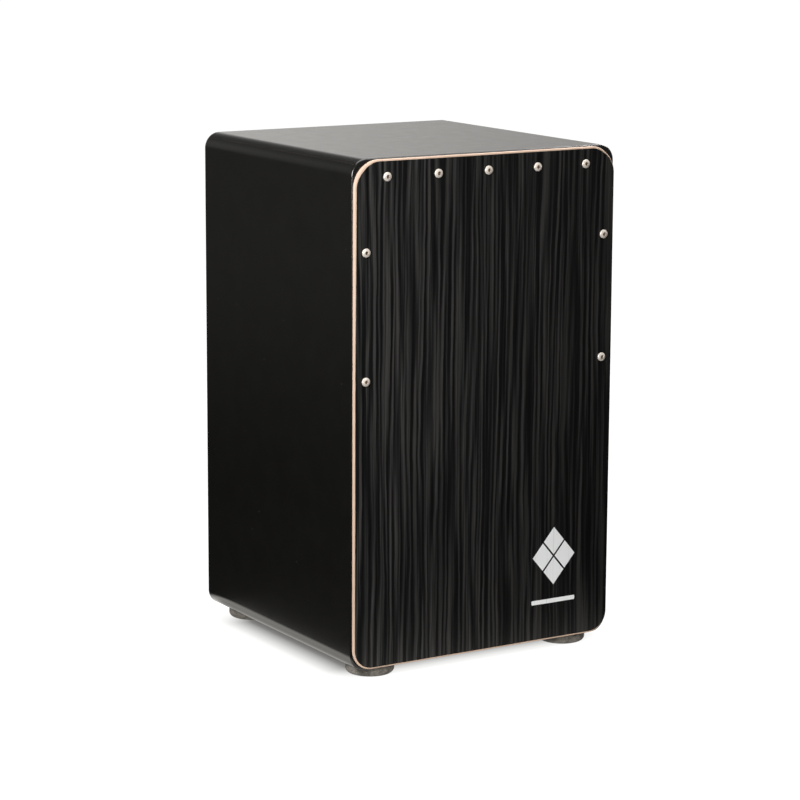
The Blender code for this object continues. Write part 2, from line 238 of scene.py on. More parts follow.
def veneer_material():
    """Black-dyed quarter-cut veneer: upright stripes, finer fibres and open pores, with painted light that falls
    off from left to right.
    """
    material, tree, shader = new_material("black_veneer", Specular_IOR_Level=0.14)
    x, _, z = object_axes(tree)
    across = x
    for scale, reach in (((7, 5, 1.6), 0.020), ((60, 1, 17), 0.0034)):
        sway = maths(tree, "SUBTRACT", noise_of(tree, stretched(tree, scale), 1, 2), 0.5)
        across = maths(tree, "ADD", across, maths(tree, "MULTIPLY", sway, reach))

    def stripes(across_scale, along_scale, seed, detail):
        inputs = {
            "X": maths(tree, "MULTIPLY", across, across_scale),
            "Y": seed,
            "Z": maths(tree, "MULTIPLY", z, along_scale),
        }
        vector = add_node(tree, "ShaderNodeCombineXYZ", inputs).outputs["Vector"]
        return noise_of(tree, vector, 1, detail)

    radians_per_metre, ring_drift = 780.0, 16.0
    drift = maths(tree, "MULTIPLY", stripes(75, 3.6, 3.1, 0), ring_drift)
    phase = maths(tree, "ADD", maths(tree, "MULTIPLY", across, radians_per_metre), drift)
    rings = remap(tree, maths(tree, "SINE", phase), -1.0, 1.0, 0.0, 1.0)
    bands = stripes(390, 5.2, 7.7, 0)
    lines = stripes(720, 9.0, 1.3, 1)
    fibres = stripes(2600, 30, 4.9, 2)
    mixed = maths(tree, "MULTIPLY", bands, 0.42)
    for pattern, weight in ((lines, 0.40), (rings, 0.18)):
        mixed = maths(tree, "ADD", mixed, maths(tree, "MULTIPLY", pattern, weight))
    tone = remap(tree, mixed, 0.32, 0.68, 0.0, 1.0)
    stripe_colour = ramp(tree, tone, [
        (0.00, (0.0016, 0.0016, 0.0017)),
        (0.34, (0.0036, 0.0036, 0.0037)),
        (0.52, (0.0085, 0.0085, 0.0085)),
        (0.72, (0.0180, 0.0178, 0.0173)),
        (1.00, (0.0310, 0.0300, 0.0282)),
    ])
    fibre_tint = ramp(tree, fibres, [(0.25, grey(0.62)), (0.75, grey(1.35))])
    # painted light: the veneer is lightened at the left and darkened at the right, as light from the left would
    # fall
    painted_light_left, painted_shade_right = 1.32, 0.76
    painted_light_falloff = remap(tree, x, BODY_LOW.x, BODY_HIGH.x, painted_light_left, painted_shade_right)
    coloured = tinted(tree, tinted(tree, stripe_colour, fibre_tint), painted_light_falloff)
    finish_surface(tree, shader, coloured, fibres, (0.40, 0.56), [
        (lines, 0.10, 0.10 * MM),
        (fibres, 0.25, 0.06 * MM),
    ])
    return material


def edge_wood_material():
    """Sanded light plywood edge, with the faint lines of its layers."""
    material, tree, shader = new_material("light_wood_edge", Specular_IOR_Level=0.35)
    layer_thickness, glue_line = 0.5 * MM, 0.12 * MM
    below = maths(tree, "SUBTRACT", object_axes(tree)[1], FRONT_Y + VENEER)
    layer = maths(tree, "PINGPONG", below, layer_thickness)
    glue = remap(tree, layer, 0.0, glue_line, 0.55, 0.0)
    fibre = noise_of(tree, stretched(tree, (60, 1500, 60)), 1, 3)
    base = ramp(tree, fibre, [(0.25, (0.48, 0.335, 0.252)), (0.75, (0.575, 0.425, 0.335))])
    coloured = mix_colours(tree, glue, base, (0.62, 0.43, 0.29, 1))
    finish_surface(tree, shader, coloured, fibre, (0.50, 0.66), [(fibre, 0.2, 0.05 * MM)])
    return material


def plank_material(name, axis, dark, light, rings=1.0):
    """Planed solid wood with its grain along one axis (0, 1 or 2)."""
    material, tree, shader = new_material(name, Specular_IOR_Level=0.3)
    slow, quick = [150 * rings] * 3, [900] * 3
    slow[axis] = 5
    quick[axis] = 24
    years = noise_of(tree, stretched(tree, slow), 1, 3, 0.6, 0.6)
    pores = noise_of(tree, stretched(tree, quick), 1, 3)
    base = ramp(tree, years, [(0.35, dark), (0.50, light), (0.62, light), (0.75, dark)])
    tint = ramp(tree, pores, [(0.3, grey(0.82)), (0.7, grey(1.08))])
    coloured = tinted(tree, base, tint)
    finish_surface(tree, shader, coloured, pores, (0.55, 0.75), [(pores, 0.35, 0.08 * MM)])
    return material


def rubber_material():
    """Dark grey moulded rubber with a grainy, slightly dusty skin."""
    material, tree, shader = new_material("dark_rubber", Specular_IOR_Level=0.35)
    place = stretched(tree, (1, 1, 1))
    grain = noise_of(tree, place, 700, 4, 0.65)
    dust = noise_of(tree, place, 110, 4, 0.6)
    base = ramp(tree, dust, [(0.35, (0.048, 0.044, 0.039)), (0.68, (0.190, 0.174, 0.155))])
    tint = ramp(tree, grain, [(0.3, grey(0.7)), (0.7, grey(1.3))])
    coloured = tinted(tree, base, tint)
    finish_surface(tree, shader, coloured, grain, (0.62, 0.85), [(grain, 0.55, 0.18 * MM)])
    return material


def metal_material(name, dark, light, roughness):
    """Bare or plated metal with faint smears and drawing marks."""
    material, tree, shader = new_material(name, Metallic=1.0)
    place = stretched(tree, (1, 1, 1))
    smears = noise_of(tree, place, 420, 3)
    marks = noise_of(tree, place, 2600, 2)
    coloured = ramp(tree, smears, [(0.3, dark), (0.7, light)])
    finish_surface(tree, shader, coloured, smears, roughness, [(marks, 0.12, 0.02 * MM)])
    return material


def screw_material():
    """Satin zinc plate with turning marks, and painted shade darkening the driver recess."""
    material, tree, shader = new_material("screw_zinc", Metallic=0.5)
    recess_shade_colour, turning_marks = (0.20, 0.130, 0.095, 1), 26000
    place = stretched(tree, (1, 1, 1))
    x, y, z = object_axes(tree)
    radius = flat_length(tree, x, y)
    smears = noise_of(tree, place, 420, 3)
    plate = ramp(tree, smears, [(0.3, (0.88, 0.78, 0.68)), (0.7, (1.0, 0.92, 0.83))])
    # painted shade: colour darkens the driver recess where shade falls
    recess = remap(tree, radius, 1.5 * MM, 2.0 * MM, 1.0, 0.0)
    on_head = maths(tree, "GREATER_THAN", z, 0.1 * MM)
    coloured = mix_colours(tree, maths(tree, "MULTIPLY", recess, on_head), plate, recess_shade_colour)
    turning = maths(tree, "SINE", maths(tree, "MULTIPLY", radius, turning_marks))
    marks = noise_of(tree, place, 2600, 2)
    finish_surface(tree, shader, coloured, smears, (0.30, 0.42), [
        (turning, 0.10, 0.01 * MM),
        (marks, 0.12, 0.02 * MM),
    ])
    return material


def paint_material():
    """Thin white print that lets a trace of the grain through."""
    material, tree, shader = new_material("white_print", Specular_IOR_Level=0.4)
    fibres = noise_of(tree, stretched(tree, (900, 900, 14)), 1, 3)
    base = ramp(tree, fibres, [(0.22, (0.70, 0.71, 0.71)), (0.42, (0.88, 0.89, 0.89))])
    finish_surface(tree, shader, base, fibres, (0.45, 0.60), [(fibres, 0.2, 0.03 * MM)])
    return material


def make_materials():
    pine = (0.46, 0.29, 0.14), (0.70, 0.52, 0.32)
    beech = (0.40, 0.22, 0.12), (0.56, 0.35, 0.21)
    birch = (0.52, 0.37, 0.23), (0.66, 0.50, 0.33)
    zinc = (0.74, 0.70, 0.66), (0.92, 0.88, 0.84)
    steel = (0.55, 0.55, 0.56), (0.75, 0.75, 0.76)
    brass = (0.60, 0.42, 0.16), (0.80, 0.60, 0.28)
    return {
        "coating": coating_material(),
        "veneer": veneer_material(),
        "edge_wood": edge_wood_material(),
        "pine_x": plank_material("pine_along_x", 0, *pine),
        "pine_y": plank_material("pine_along_y", 1, *pine),
        "pine_z": plank_material("pine_along_z", 2, *pine),
        "beech_x": plank_material("beech_along_x", 0, *beech, 2.0),
        "beech_z": plank_material("beech_along_z", 2, *beech, 2.0),
        "birch": plank_material("raw_birch", 1, *birch, 0.5),
        "rubber": rubber_material(),
        "screw": screw_material(),
        "steel": metal_material("bright_zinc", *zinc, (0.26, 0.38)),
        "wire": metal_material("snare_steel", *steel, (0.22, 0.34)),
        "brass": metal_material("brass", *brass, (0.24, 0.40)),
        "print": paint_material(),
    }


# ---------------------------------------------------------------- mesh helpers

def finished_mesh(name, bm, materials, smooth_angle):
    """Mesh of a closed bmesh, smooth except at real edges; the bmesh is freed."""
    bmesh.ops.recalc_face_normals(bm, faces=bm.faces)
    mesh = bpy.data.meshes.new(name)
    bm.to_mesh(mesh)
    bm.free()
    mesh.shade_smooth()
    mesh.set_sharp_from_angle(angle=radians(smooth_angle))
    for material in materials:
        mesh.materials.append(material)
    return mesh


def new_object(name, data):
    made = bpy.data.objects.new(name, data)
    bpy.context.scene.collection.objects.link(made)
    return made


def mesh_object(name, bm, materials, smooth_angle=35):
    """Object of a closed bmesh; its flat faces stay flat beside rounded edges."""
    piece = new_object(name, finished_mesh(name, bm, materials, smooth_angle))
    flat_faces = piece.modifiers.new("flat_faces_stay_flat", "WEIGHTED_NORMAL")
    flat_faces.keep_sharp = True
    return piece


def keep(piece, body, slot, *nodes):
    """Fasten a finished piece to its body and let it stand for its CAD nodes."""
    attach(piece, body)
    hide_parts(*nodes)


def loft(bm, loops):
    """Quads between closed loops of equal length, closed at both ends; returns their rows."""
    rings = [[bm.verts.new(point) for point in loop] for loop in loops]
    rows = []
    count = len(rings[0])
    for near, far in zip(rings, rings[1:]):
        row = []
        for step in range(count):
            after = (step + 1) % count
            row.append(bm.faces.new((near[step], near[after], far[after], far[step])))
        rows.append(row)
    bm.faces.new(rings[0])
    bm.faces.new(rings[-1])
    return rows


def turned_ring(bm, section, steps, matrix):
    """Ring turned about Z from the (radius, height) points of its closed section."""
    rings = []
    for radius, height in section:
        turns = [tau * step / steps for step in range(steps)]
        points = [matrix @ Vector((radius * cos(t), radius * sin(t), height)) for t in turns]
        rings.append([bm.verts.new(point) for point in points])
    for upper, lower in zip(rings, rings[1:] + rings[:1]):
        for step in range(steps):
            after = (step + 1) % steps
            bm.faces.new((upper[step], lower[step], lower[after], upper[after]))


def arc(centre, radius, start, end, steps):
    turns = [start + (end - start) * step / steps for step in range(steps + 1)]
    return [(centre[0] + radius * cos(t), centre[1] + radius * sin(t)) for t in turns]


def eased(radius, steps=6):
    """(inset, depth) pairs of a quarter round, from the end face to the side."""
    turns = [pi / 2 * step / steps for step in range(steps + 1)]
    return [(radius * (1 - sin(t)), radius * (1 - cos(t))) for t in turns]


def flat_piece(name, outlines, thickness, ease, matrix, materials):
    """Flat sheet with rounded arrises from closed outlines; inner ones are holes.

    The sheet is centred on its own XY plane and then placed by the matrix.
    """
    curve = bpy.data.curves.new(name, "CURVE")
    curve.dimensions = "2D"
    curve.fill_mode = "BOTH"
    curve.extrude = thickness / 2 - ease
    curve.bevel_depth = ease
    curve.bevel_resolution = 3
    curve.offset = -ease
    for outline in outlines:
        spline = curve.splines.new("POLY")
        spline.points.add(len(outline) - 1)
        for point, (x, y) in zip(spline.points, outline):
            point.co = (x, y, 0, 1)
        spline.use_cyclic_u = True
    source = new_object(name + "_outline", curve)
    evaluated = source.evaluated_get(bpy.context.evaluated_depsgraph_get())
    mesh = bpy.data.meshes.new_from_object(evaluated)
    bpy.data.objects.remove(source)
    bm = bmesh.new()
    bm.from_mesh(mesh)
    bpy.data.meshes.remove(mesh)
    bmesh.ops.remove_doubles(bm, verts=bm.verts, dist=1e-7)
    bm.transform(matrix)
    return mesh_object(name, bm, materials)


def rounded_rectangle(half_width, half_height, radius, steps, centre=(0, 0)):
    points = []
    for turn, (side, up) in enumerate(((1, 1), (-1, 1), (-1, -1), (1, -1))):
        middle = (
            centre[0] + side * (half_width - radius),
            centre[1] + up * (half_height - radius),
        )
        points += arc(middle, radius, turn * pi / 2, (turn + 1) * pi / 2, steps)
    return points


def circle(centre, radius, steps):
    return arc(centre, radius, 0, tau * (steps - 1) / steps, steps - 1)


# --------------------------------------------------------------------- the box

def wall_section(half_length, wall, inset):
    """(along, outwards) points of a mitred wall whose outer face is drawn in by inset."""
    seam = HAIRLINE / EDGE_RADIUS
    centre_x = half_length - EDGE_RADIUS
    right = arc((centre_x, -EDGE_RADIUS), EDGE_RADIUS - inset, pi / 4 + seam, pi / 2, 20)
    left = [(-x, z) for x, z in reversed(right)]
    inner = half_length - wall - HAIRLINE
    return right + left + [(-inner, -wall), (inner, -wall)]


def make_walls(materials):
    """Four coated walls; their insides stay raw."""
    wall = BODY_HIGH.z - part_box("top_panel")[0].z
    half_width = (BODY_HIGH.x - BODY_LOW.x) / 2
    half_height = (BODY_HIGH.z - BODY_LOW.z) / 2
    front = [(inset, BODY_LOW.y + depth) for inset, depth in eased(FRONT_EASE)]
    rear = [(inset, BODY_HIGH.y - depth) for inset, depth in reversed(eased(REAR_EASE))]
    spans = (
        ("top", half_width, (0, 0, BODY_HIGH.z), 0),
        ("right", half_height, (BODY_HIGH.x, 0, MIDDLE_Z), pi / 2),
        ("bottom", half_width, (0, 0, BODY_LOW.z), pi),
        ("left", half_height, (BODY_LOW.x, 0, MIDDLE_Z), -pi / 2),
    )
    for side, half_length, place, turn in spans:
        matrix = Matrix.Translation(place) @ Matrix.Rotation(turn, 4, "Y")
        bm = bmesh.new()
        rows = loft(bm, [
            [matrix @ Vector((x, y, z)) for x, z in wall_section(half_length, wall, inset)]
            for inset, y in front + rear
        ])
        for row in rows:
            for face in row[-3:]:
                face.material_index = 1
        surfaces = [materials["coating"], materials["birch"]]
        piece = mesh_object(f"{side}_wall", bm, surfaces, 50)
        keep(piece, "box", "black_coating", f"{side}_panel")


def board_outline(outline_inset):
    """Points and inward normals round the front board, close enough for a worn bevel."""
    half_width = (BODY_HIGH.x - BODY_LOW.x) / 2 - outline_inset
    half_height = (BODY_HIGH.z - BODY_LOW.z) / 2 - outline_inset
    corner_steps, spacing = 24, 7 * MM
    corners = []
    for side, up in ((1, 1), (-1, 1), (-1, -1), (1, -1)):
        radius = BOARD_RADII[0] if up > 0 else BOARD_RADII[1]
        centre = Vector((side * (half_width - radius), up * (half_height - radius)))
        corners.append((centre, radius))
    points = []
    for turn, (centre, radius) in enumerate(corners):
        for step in range(corner_steps + 1):
            angle = (turn + step / corner_steps) * pi / 2
            out = Vector((cos(angle), sin(angle)))
            points.append((centre + radius * out, -out))
        next_centre, next_radius = corners[(turn + 1) % 4]
        start = points[-1][0]
        finish = next_centre + next_radius * out
        pieces = max(2, round((finish - start).length / spacing))
        for step in range(1, pieces):
            points.append((start.lerp(finish, step / pieces), -out))
    return points


def share(value, start, end):
    """0 at the start, 1 at the end, and held beyond them."""
    return min(max((value - start) / (end - start), 0), 1)


def bevel_size(point, inward):
    """Width and depth of the hand-sanded bevel: widest at the upper left, steep on the right."""
    height = point.y / (BODY_HIGH.z - BODY_LOW.z) + 0.5
    lower = share(height, 0.62, 0.42)
    upper = share(height, 0.45, 0.90)
    top = max(-inward.y, 0) ** 2
    right = max(-inward.x, 0) ** 2
    corner = 4 * (inward.x * inward.y) ** 2 if point.y > 0 else 0
    wave = noise.noise(Vector((point.x * 14, point.y * 14, 2.3)))
    widening = 1.25 * upper * upper * (3 - 2 * upper) * (1 - 0.5 * top)
    width = 1.40 + 0.40 * lower + widening + 0.12 * wave + corner
    width *= (1 - 0.5 * right) * MM
    steepness = 0.8 + 1.5 * right
    return width, steepness * (width - VENEER_EDGE)


def make_front_board(materials):
    """Light core with a rounded bevel, and the striped veneer on it."""
    ring = board_outline(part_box("tapa_core")[0].x - BODY_LOW.x)
    core_front = FRONT_Y + VENEER
    back = FRONT_Y + BOARD_THICKNESS
    back_ease = 0.2 * MM
    bevel_steps = 8

    def loop(offset, y):
        points = []
        for point, inward in ring:
            width, deep = bevel_size(point, inward)
            place = point + inward * offset(width)
            points.append(Vector((place.x, y(deep), place.y + MIDDLE_Z)))
        return points

    loops = []
    for step in range(bevel_steps + 1):
        turn = pi / 2 * step / bevel_steps
        loops.append(loop(
            lambda width: (width - VENEER_EDGE) * (1 - sin(turn)),
            lambda deep: core_front + deep * (1 - cos(turn)),
        ))
    loops.append(loop(lambda width: 0, lambda deep: back - back_ease))
    loops.append(loop(lambda width: back_ease, lambda deep: back))
    bm = bmesh.new()
    loft(bm, loops)
    core = mesh_object("tapa_board", bm, [materials["edge_wood"]], 50)
    keep(core, "box", "light_wood", "tapa_core")

    bm = bmesh.new()
    loft(bm, [
        loop(lambda width: width + 0.12 * MM, lambda deep: FRONT_Y),
        loop(lambda width: width, lambda deep: FRONT_Y + 0.03 * MM),
        loop(lambda width: width - VENEER_EDGE, lambda deep: core_front - HAIRLINE),
    ])
    face = mesh_object("tapa_face", bm, [materials["veneer"]], 50)
    keep(face, "box", "black_veneer", "tapa_veneer")


def make_emblem(materials):
    """Generic printed mark: four rhombi over a thin bar."""
    half_width, half_height, apart = 12 * MM, 14 * MM, 13.2 * MM
    outlines = []
    for x, z in ((0, 1), (-1, 0), (1, 0), (0, -1)):
        middle_x, middle_z = x * apart, z * apart * half_height / half_width
        outlines.append([
            (middle_x + half_width, middle_z), (middle_x, middle_z + half_height),
            (middle_x - half_width, middle_z), (middle_x, middle_z - half_height),
        ])
    outlines.append(rounded_rectangle(26 * MM, 2.2 * MM, 1 * MM, 4, (0, -46 * MM)))
    place = Matrix.Translation((EMBLEM_X, FRONT_Y - 0.02 * MM, EMBLEM_Z))
    matrix = place @ Matrix.Rotation(pi / 2, 4, "X")
    thickness, ease = 0.06 * MM, 0.01 * MM
    piece = flat_piece("printed_mark", outlines, thickness, ease, matrix, [materials["print"]])
    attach(piece, "box")


def make_rear_panel(materials):
    """Coated rear panel with a rounded sound hole and a raw inner face."""
    low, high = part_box("rear_panel")
    opening = frame["record"]["physics"]["openings"][0]["box_m"]
    hole_z = (opening[0][2] + opening[1][2]) / 2
    middle_z = (low.z + high.z) / 2
    oversize = 0.25 * MM
    half_width = (high.x - low.x) / 2 + oversize
    half_height = (high.z - low.z) / 2 + oversize
    outer = rounded_rectangle(half_width, half_height, 0.6 * MM, 3)
    hole = circle((0, hole_z - middle_z), SOUND_HOLE_RADIUS, 128)
    place = Matrix.Translation((0, (low.y + high.y) / 2, middle_z))
    matrix = place @ Matrix.Rotation(pi / 2, 4, "X")
    thickness, ease = high.y - low.y, 0.9 * MM
    surfaces = [materials["coating"], materials["birch"]]
    piece = flat_piece("sound_hole_panel", [outer, hole], thickness, ease, matrix, surfaces)
    for polygon in piece.data.polygons:
        if polygon.normal.y < -0.9:
            polygon.material_index = 1
    keep(piece, "box", "black_coating", "rear_panel")


def finish_battens(materials):
    """The CAD battens stay, with softened edges and wood along their length."""
    for name, node in frame["nodes"].items():
        if "batten" not in name:
            continue
        low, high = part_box(name)
        size = high - low
        axis = max(range(3), key=lambda i: size[i])
        node.data.materials.clear()
        node.data.materials.append(materials["pine_" + "xyz"[axis]])
        softened = node.modifiers.new("softened_edges", "BEVEL")
        softened.width = 0.7 * MM
        softened.segments = 2
        softened.limit_method = "ANGLE"
        softened.angle_limit = radians(60)


# ------------------------------------------------------------------- fasteners

def screw_mesh(name, material, head_radius, head_height, shank_radius, length):
    """Round-head wood screw along Z with a six-lobed recess and a cut thread.

    The head sits on z = 0 and the shank points down.
    """
    steps, rows_per_turn = 48, 6
    recess = 0.45 * head_radius
    floor = 0.32 * head_height
    rim = 0.88                  # share of the head's radius where its edge rounds over
    pitch = 0.9 * shank_radius
    core = 0.70 * shank_radius

    def ring(radius_of, height):
        turns = [tau * step / steps for step in range(steps)]
        return [Vector((radius_of(t) * cos(t), radius_of(t) * sin(t), height)) for t in turns]

    def round_ring(radius, height):
        return ring(lambda t: radius, height)

    def lobed(t, scale):
        return recess * scale * (0.87 + 0.13 * cos(6 * t))

    def dome(radius):
        return head_height * (1 - 0.42 * (radius / head_radius) ** 2.4)

    loops = [
        round_ring(0.08 * recess, floor - 0.12 * head_height),
        round_ring(0.5 * recess, floor - 0.04 * head_height),
        ring(lambda t: lobed(t, 0.96), floor),
        ring(lambda t: lobed(t, 1.0), dome(recess) - 0.06 * head_height),
        ring(lambda t: lobed(t, 1.04) + 0.02 * recess, dome(recess)),
    ]
    for part in (0.52, 0.62, 0.72, 0.81, rim):
        loops.append(round_ring(part * head_radius, dome(part * head_radius)))
    for turn in (0.25, 0.5, 0.75, 1.0):
        angle = turn * pi / 2
        loops.append(round_ring(
            head_radius * (rim + (1 - rim) * sin(angle)),
            dome(rim * head_radius) - 0.30 * head_height * (1 - cos(angle)),
        ))
    loops.append(round_ring(head_radius, 0.06 * head_height))
    loops.append(round_ring(0.985 * head_radius, 0))
    loops.append(round_ring(shank_radius, 0))
    depth = 0.18 * length       # the plain part under the head
    loops.append(round_ring(shank_radius, -depth))
    tip = length - 2.4 * shank_radius
    while depth < length - 0.12 * shank_radius:
        taper = 1 if depth < tip else max((length - depth) / (length - tip), 0.05)

        def threaded(t):
            phase = (depth / pitch + t / tau) % 1
            ridge = max(0, 1 - abs(phase - 0.5) * 4.5)
            return taper * (core + (shank_radius - core) * ridge)

        loops.append(ring(threaded, -depth))
        depth += pitch / rows_per_turn
    loops.append(round_ring(0.03 * shank_radius, -length))
    bm = bmesh.new()
    loft(bm, loops)
    return finished_mesh(name, bm, [material], 40)


def place_screw(name, mesh, matrix, body, node):
    piece = new_object(name, mesh)
    piece.matrix_world = matrix
    keep(piece, body, "bright_steel", node)


def make_board_screws(materials):
    """The screws round the front board, each turned by its own last twist."""
    names = sorted(n for n in frame["nodes"] if n.startswith("tapa_screw_"))
    low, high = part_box(names[0])
    mesh = screw_mesh(
        "board_screw", materials["screw"], head_radius=(high.x - low.x) / 2,
        head_height=FRONT_Y - low.y, shank_radius=2.0 * MM, length=high.y - FRONT_Y,
    )
    for order, name in enumerate(names):
        low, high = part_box(name)
        place = ((low.x + high.x) / 2, FRONT_Y, (low.z + high.z) / 2)
        twist = Matrix.Rotation(radians(17 + 41 * order), 4, "Z")
        matrix = Matrix.Translation(place) @ Matrix.Rotation(pi / 2, 4, "X") @ twist
        place_screw(name.replace("tapa_screw", "board_screw"), mesh, matrix, "box", name)


def make_feet(materials):
    """Round rubber feet with a soft rim, each with its sunk washer and screw."""
    hole = 2.3 * MM
    top, top_ease, sole_ease = BODY_LOW.z, 0.8 * MM, 4.5 * MM
    for tag in CORNERS:
        low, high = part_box(f"foot_{tag}")
        radius = (high.x - low.x) / 2
        centre = Vector(((low.x + high.x) / 2, (low.y + high.y) / 2, 0))
        washer_low, washer_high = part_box(f"foot_washer_{tag}")
        recess = (washer_high.x - washer_low.x) / 2 + 0.3 * MM
        deep = washer_high.z + 0.25 * MM
        profile = [(hole, top), (radius - top_ease, top)]
        profile += arc((radius - top_ease, top - top_ease), top_ease, pi / 2, 0, 5)
        profile += arc((radius - sole_ease, sole_ease), sole_ease, 0, -pi / 2, 12)
        profile += [(recess + 0.8 * MM, 0), (recess + 0.2 * MM, 0.25 * MM), (recess, 0.8 * MM)]
        profile += [(recess, deep), (hole, deep)]
        bm = bmesh.new()
        turned_ring(bm, profile, 96, Matrix.Translation(centre))
        foot = mesh_object(f"rubber_foot_{tag}", bm, [materials["rubber"]], 40)
        keep(foot, "box", "dark_rubber", f"foot_{tag}")

        outer = (washer_high.x - washer_low.x) / 2
        low_z, high_z = washer_low.z, deep - HAIRLINE
        ease = 0.2 * MM
        section = [
            (hole + ease, high_z), (outer - ease, high_z), (outer, high_z - ease),
            (outer, low_z + ease), (outer - ease, low_z), (hole + ease, low_z),
            (hole, low_z + ease), (hole, high_z - ease),
        ]
        bm = bmesh.new()
        turned_ring(bm, section, 64, Matrix.Translation(centre))
        washer = mesh_object(f"washer_{tag}", bm, [materials["steel"]], 40)
        keep(washer, "box", "bright_steel", f"foot_washer_{tag}")

    low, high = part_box("foot_screw_front_left")
    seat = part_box("foot_washer_front_left")[0].z
    mesh = screw_mesh(
        "foot_screw", materials["steel"], head_radius=(high.x - low.x) / 2,
        head_height=seat - low.z, shank_radius=2.0 * MM, length=high.z - seat,
    )
    for order, tag in enumerate(CORNERS):
        low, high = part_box(f"foot_screw_{tag}")
        place = ((low.x + high.x) / 2, (low.y + high.y) / 2, seat)
        twist = Matrix.Rotation(radians(29 * order), 4, "Z")
        matrix = Matrix.Translation(place) @ Matrix.Rotation(pi, 4, "X") @ twist
        place_screw(f"sole_screw_{tag}", mesh, matrix, "box", f"foot_screw_{tag}")


# ------------------------------------------------------------------ snare unit

def make_saddles(materials):
    """Beech blocks on the side walls, bored for the bar, with two screws each."""
    _, axis_y, axis_z = frame["joints"][0]["pos_m"]
    bar_low, bar_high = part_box("snare_bar")
    bore = (bar_high.z - bar_low.z) / 2 + 0.35 * MM
    low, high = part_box("saddle_screw_left_lower")
    mesh = screw_mesh(
        "saddle_screw", materials["steel"], head_radius=(high.z - low.z) / 2,
        head_height=2.2 * MM, shank_radius=1.75 * MM, length=19.5 * MM,
    )
    # local X runs along the wall's depth, local Y is up, local Z points across the box
    block_axes = Matrix(((0, 0, 1, 0), (1, 0, 0, 0), (0, 1, 0, 0), (0, 0, 0, 1)))
    for side, sign in (("left", -1), ("right", 1)):
        low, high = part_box(f"snare_saddle_{side}")
        half_depth, half_height = (high.y - low.y) / 2, (high.z - low.z) / 2
        outlines = [
            rounded_rectangle(half_depth, half_height, 5 * MM, 8),
            circle((0, 0), bore, 64),
        ]
        matrix = Matrix.Translation(((low.x + high.x) / 2, axis_y, axis_z)) @ block_axes
        thickness, ease = high.x - low.x, 1.0 * MM
        wood = [materials["beech_z"]]
        block = flat_piece(f"saddle_{side}", outlines, thickness, ease, matrix, wood)
        keep(block, "box", "beech", f"snare_saddle_{side}")
        face_x = low.x if sign > 0 else high.x
        turn = Matrix.Rotation(-sign * pi / 2, 4, "Y")
        for level in ("lower", "upper"):
            node = f"saddle_screw_{side}_{level}"
            low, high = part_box(node)
            place = (face_x, (low.y + high.y) / 2, (low.z + high.z) / 2)
            matrix = Matrix.Translation(place) @ turn
            place_screw(f"block_screw_{side}_{level}", mesh, matrix, "box", node)


def make_snare_bar(materials, hinge):
    """Turned beech bar with two milled flats and chamfered ends."""
    low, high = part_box("snare_bar")
    radius = (high.z - low.z) / 2
    half = (high.x - low.x) / 2
    plate_low, plate_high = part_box("snare_plate_right")
    inner, outer = plate_low.x - 0.3 * MM, plate_high.x + 0.3 * MM
    flat = radius - BAR_FLAT
    steps, chamfer = 96, 0.8 * MM

    def loop(x, size, milled):
        points = []
        for step in range(steps):
            angle = tau * step / steps
            y, z = size * cos(angle), size * sin(angle)
            if milled:
                y = max(y, -flat)
            points.append(hinge @ Vector((x, y, z)))
        return points

    stations = [(-half, radius - chamfer, False), (-half + chamfer, radius, False)]
    for start, end in ((-outer, -inner), (inner, outer)):
        stations += [(start - HAIRLINE, radius, False), (start, radius, True)]
        stations += [(end, radius, True), (end + HAIRLINE, radius, False)]
    stations += [(half - chamfer, radius, False), (half, radius - chamfer, False)]
    bm = bmesh.new()
    loft(bm, [loop(*station) for station in stations])
    bar = mesh_object("turning_bar", bm, [materials["beech_x"]], 30)
    keep(bar, "snare_bar", "beech", "snare_bar")


def spiral_wires(bm, centre_x, front_y, low_z, high_z, hinge):
    """One set of coiled wires side by side, each a true spiral."""
    wire, coil, pitch = 0.17 * MM, 0.52 * MM, 1.3 * MM
    per_turn, sides = 8, 5
    count = int((high_z - low_z) / pitch * per_turn)
    climb = pitch / (tau * coil)
    slope = sqrt(1 + climb * climb)
    for strand in range(STRANDS):
        x = centre_x + (strand - (STRANDS - 1) / 2) * STRAND_PITCH
        rings = []
        for step in range(count + 1):
            angle = tau * step / per_turn + strand * 0.7
            out = Vector((cos(angle), sin(angle), 0))
            middle = Vector((x, front_y, low_z + pitch * step / per_turn)) + coil * out
            along = Vector((-sin(angle), cos(angle), climb)) / slope
            side = along.cross(out)
            ring = []
            for corner in range(sides):
                turn = tau * corner / sides
                point = middle + wire * (cos(turn) * out + sin(turn) * side)
                ring.append(hinge @ point)
            rings.append(ring)
        loft(bm, rings)


